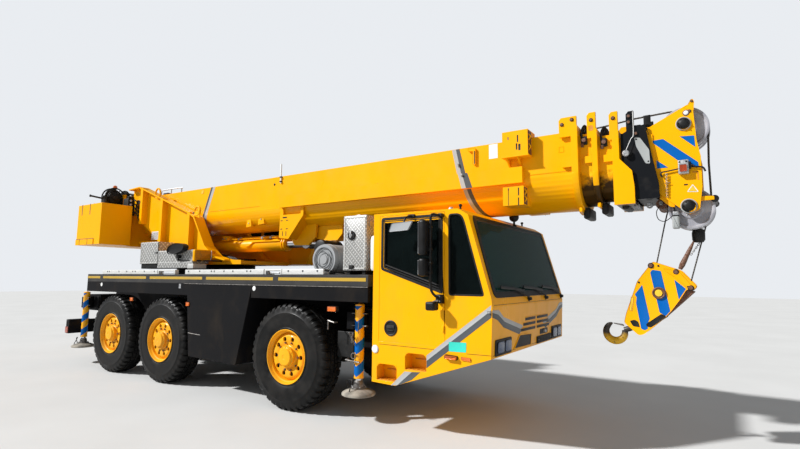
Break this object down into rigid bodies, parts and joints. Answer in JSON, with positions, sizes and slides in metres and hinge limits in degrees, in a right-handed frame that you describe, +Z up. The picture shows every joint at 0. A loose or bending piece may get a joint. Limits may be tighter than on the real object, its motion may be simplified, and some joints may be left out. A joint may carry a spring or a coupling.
{
  "type": "mobile crane",
  "caption": "Yellow three-axle all-terrain telescopic crane in road trim, boom laid forward over the cab, striped hook block tied under the boom head.",
  "frame": {"origin": "centre of the bounding box in plan, on the ground under the tyres", "axes": "+X forward over the cab, +Y to the driver's left, +Z up"},
  "size_m": [11.09, 2.99, 3.55],
  "materials": {
    "yellow_paint": "gloss",
    "black_paint": "satin",
    "deck_grey": "satin",
    "chequer_aluminium": "satin",
    "cleaner_grey": "satin",
    "tyre_rubber": "matte",
    "rim_yellow": "satin",
    "cab_glass": "gloss",
    "cab_trim": "matte",
    "mirror_black": "satin",
    "jack_stripes": "gloss",
    "foot_steel": "satin",
    "axle_black": "satin",
    "chrome_rod": "polished",
    "sheave_grey": "satin",
    "hook_forged": "satin"
  },
  "bodies": {
    "carrier": {"chassis_frame": "black_paint", "axle_beams": "axle_black", "deck_platform": "deck_grey", "deck_aluminium": "chequer_aluminium", "side_panels": "black_paint", "cab_shell": "yellow_paint", "cab_glass": "cab_glass", "cab_interior": "cab_trim", "air_cleaner": "cleaner_grey"},
    "turntable": {"turntable_frame": "yellow_paint", "slew_ring": "black_paint", "counterweight": "yellow_paint", "machinery_boxes": "chequer_aluminium", "operator_cab": "yellow_paint", "operator_glass": "cab_glass", "operator_seat_desk": "cab_trim"},
    "winch_drum": {"winch": "black_paint"},
    "operator_door": {"operator_door": "yellow_paint", "operator_door_glass": "cab_glass"},
    "lift_barrel": {"lift_cylinder": "yellow_paint"},
    "lift_ram": {"lift_rod": "chrome_rod"},
    "head_sheave_top": {"head_sheave_top": "sheave_grey"},
    "head_sheave_low": {"head_sheave_low": "sheave_grey"},
    "hook_block": {"hook_block": "yellow_paint"},
    "hook": {"hook": "hook_forged"},
    "boom_1": {"boom_section_1": "yellow_paint"},
    "boom_2": {"boom_section_2": "yellow_paint"},
    "boom_3": {"boom_section_3": "yellow_paint"},
    "boom_4": {"boom_section_4": "yellow_paint"},
    "boom_5": {"boom_section_5": "yellow_paint"},
    "outrigger_front_r": {"outrigger_front_r": "jack_stripes"},
    "jack_foot_front_r": {"jack_foot_front_r": "foot_steel"},
    "outrigger_front_l": {"outrigger_front_l": "jack_stripes"},
    "jack_foot_front_l": {"jack_foot_front_l": "foot_steel"},
    "outrigger_rear_r": {"outrigger_rear_r": "jack_stripes"},
    "jack_foot_rear_r": {"jack_foot_rear_r": "foot_steel"},
    "outrigger_rear_l": {"outrigger_rear_l": "jack_stripes"},
    "jack_foot_rear_l": {"jack_foot_rear_l": "foot_steel"},
    "knuckle_1r": {"knuckle_1r": "axle_black"},
    "wheel_1r": {"rim_1r": "rim_yellow", "tyre_1r": "tyre_rubber"},
    "knuckle_1l": {"knuckle_1l": "axle_black"},
    "wheel_1l": {"rim_1l": "rim_yellow", "tyre_1l": "tyre_rubber"},
    "wheel_2r": {"rim_2r": "rim_yellow", "tyre_2r": "tyre_rubber"},
    "wheel_2l": {"rim_2l": "rim_yellow", "tyre_2l": "tyre_rubber"},
    "knuckle_3r": {"knuckle_3r": "axle_black"},
    "wheel_3r": {"rim_3r": "rim_yellow", "tyre_3r": "tyre_rubber"},
    "knuckle_3l": {"knuckle_3l": "axle_black"},
    "wheel_3l": {"rim_3l": "rim_yellow", "tyre_3l": "tyre_rubber"},
    "cab_door_r": {"cab_door_r": "yellow_paint", "door_glass_r": "cab_glass", "mirror_r": "mirror_black"},
    "cab_door_l": {"cab_door_l": "yellow_paint", "door_glass_l": "cab_glass", "mirror_l": "mirror_black"}
  },
  "joints": [
    {"name": "slew", "type": "hinge", "parent": "carrier", "child": "turntable", "pos_m": [-2.515, 0, 1.84], "axis": [0, 0, 1], "continuous": true},
    {"name": "winch_turn", "type": "hinge", "parent": "turntable", "child": "winch_drum", "pos_m": [-5.055, 0, 3.345], "axis": [0, 1, 0], "continuous": true},
    {"name": "operator_door_slide", "type": "slide", "parent": "turntable", "child": "operator_door", "axis": [-1, 0, 0], "range_m": [0, 0.9]},
    {"name": "boom_luff", "type": "hinge", "parent": "turntable", "child": "boom_1", "pos_m": [-4.455, 0, 3.23], "axis": [0, -1, 0], "range_deg": [0, 78]},
    {"name": "telescope_1", "type": "slide", "parent": "boom_1", "child": "boom_2", "axis": [1, 0, 0], "range_m": [0, 7.3]},
    {"name": "telescope_2", "type": "slide", "parent": "boom_2", "child": "boom_3", "axis": [1, 0, 0], "range_m": [0, 7.3]},
    {"name": "telescope_3", "type": "slide", "parent": "boom_3", "child": "boom_4", "axis": [1, 0, 0], "range_m": [0, 7.3]},
    {"name": "telescope_4", "type": "slide", "parent": "boom_4", "child": "boom_5", "axis": [1, 0, 0], "range_m": [0, 7.3]},
    {"name": "lift_tilt", "type": "hinge", "parent": "turntable", "child": "lift_barrel", "pos_m": [-3.365, 0, 2.28], "axis": [0, -1, 0], "range_deg": [0, 82.03]},
    {"name": "lift_extend", "type": "slide", "parent": "lift_barrel", "child": "lift_ram", "axis": [1, 0, 0], "range_m": [0, 1.8223]},
    {"name": "head_sheave_top_turn", "type": "hinge", "parent": "boom_5", "child": "head_sheave_top", "pos_m": [5.295, 0, 3.28], "axis": [0, 1, 0], "continuous": true},
    {"name": "head_sheave_low_turn", "type": "hinge", "parent": "boom_5", "child": "head_sheave_low", "pos_m": [5.315, 0, 2.44], "axis": [0, 1, 0], "continuous": true},
    {"name": "hook_block_swing", "type": "hinge", "parent": "boom_5", "child": "hook_block", "pos_m": [5.315, 0, 2.44], "axis": [0, 1, 0], "range_deg": [0, 51.5]},
    {"name": "hook_swivel", "type": "hinge", "parent": "hook_block", "child": "hook", "pos_m": [4.525, 0, 1.15], "axis": [-0.9623, 0, -0.272], "continuous": true},
    {"name": "outrigger_front_r_slide", "type": "slide", "parent": "carrier", "child": "outrigger_front_r", "axis": [0, -1, 0], "range_m": [0, 1.45]},
    {"name": "jack_front_r", "type": "slide", "parent": "outrigger_front_r", "child": "jack_foot_front_r", "axis": [0, 0, -1], "range_m": [0, 0.3]},
    {"name": "outrigger_front_l_slide", "type": "slide", "parent": "carrier", "child": "outrigger_front_l", "axis": [0, 1, 0], "range_m": [0, 1.45]},
    {"name": "jack_front_l", "type": "slide", "parent": "outrigger_front_l", "child": "jack_foot_front_l", "axis": [0, 0, -1], "range_m": [0, 0.3]},
    {"name": "outrigger_rear_r_slide", "type": "slide", "parent": "carrier", "child": "outrigger_rear_r", "axis": [0, -1, 0], "range_m": [0, 1.45]},
    {"name": "jack_rear_r", "type": "slide", "parent": "outrigger_rear_r", "child": "jack_foot_rear_r", "axis": [0, 0, -1], "range_m": [0, 0.3]},
    {"name": "outrigger_rear_l_slide", "type": "slide", "parent": "carrier", "child": "outrigger_rear_l", "axis": [0, 1, 0], "range_m": [0, 1.45]},
    {"name": "jack_rear_l", "type": "slide", "parent": "outrigger_rear_l", "child": "jack_foot_rear_l", "axis": [0, 0, -1], "range_m": [0, 0.3]},
    {"name": "steer_1r", "type": "hinge", "parent": "carrier", "child": "knuckle_1r", "pos_m": [0.735, -0.87, 0.685], "axis": [0, 0, 1], "range_deg": [-30, 30]},
    {"name": "wheel_1r_roll", "type": "hinge", "parent": "knuckle_1r", "child": "wheel_1r", "pos_m": [0.735, -1.0875, 0.685], "axis": [0, 1, 0], "continuous": true},
    {"name": "steer_1l", "type": "hinge", "parent": "carrier", "child": "knuckle_1l", "pos_m": [0.735, 0.87, 0.685], "axis": [0, 0, 1], "range_deg": [-30, 30]},
    {"name": "wheel_1l_roll", "type": "hinge", "parent": "knuckle_1l", "child": "wheel_1l", "pos_m": [0.735, 1.0875, 0.685], "axis": [0, 1, 0], "continuous": true},
    {"name": "wheel_2r_roll", "type": "hinge", "parent": "carrier", "child": "wheel_2r", "pos_m": [-2.175, -1.0875, 0.685], "axis": [0, 1, 0], "continuous": true},
    {"name": "wheel_2l_roll", "type": "hinge", "parent": "carrier", "child": "wheel_2l", "pos_m": [-2.175, 1.0875, 0.685], "axis": [0, 1, 0], "continuous": true},
    {"name": "steer_3r", "type": "hinge", "parent": "carrier", "child": "knuckle_3r", "pos_m": [-3.765, -0.87, 0.685], "axis": [0, 0, 1], "range_deg": [-18, 18]},
    {"name": "wheel_3r_roll", "type": "hinge", "parent": "knuckle_3r", "child": "wheel_3r", "pos_m": [-3.765, -1.0875, 0.685], "axis": [0, 1, 0], "continuous": true},
    {"name": "steer_3l", "type": "hinge", "parent": "carrier", "child": "knuckle_3l", "pos_m": [-3.765, 0.87, 0.685], "axis": [0, 0, 1], "range_deg": [-18, 18]},
    {"name": "wheel_3l_roll", "type": "hinge", "parent": "knuckle_3l", "child": "wheel_3l", "pos_m": [-3.765, 1.0875, 0.685], "axis": [0, 1, 0], "continuous": true},
    {"name": "cab_door_r_hinge", "type": "hinge", "parent": "carrier", "child": "cab_door_r", "pos_m": [3.065, -1.271, 1.3], "axis": [0, 0, 1], "range_deg": [0, 70]},
    {"name": "cab_door_l_hinge", "type": "hinge", "parent": "carrier", "child": "cab_door_l", "pos_m": [3.065, 1.271, 1.3], "axis": [0, 0, -1], "range_deg": [0, 70]}
  ],
  "couplings": [
    {"joint": "lift_tilt", "follows": "boom_luff", "ratio": 1.0452},
    {"joint": "lift_extend", "follows": "boom_luff", "m_per_rad": 1.3239},
    {"joint": "hook_block_swing", "follows": "boom_luff", "ratio": 0.65976},
    {"joint": "steer_1l", "follows": "steer_1r", "ratio": 1},
    {"joint": "steer_3r", "follows": "steer_1r", "ratio": -0.6},
    {"joint": "steer_3l", "follows": "steer_1r", "ratio": -0.6}
  ]
}
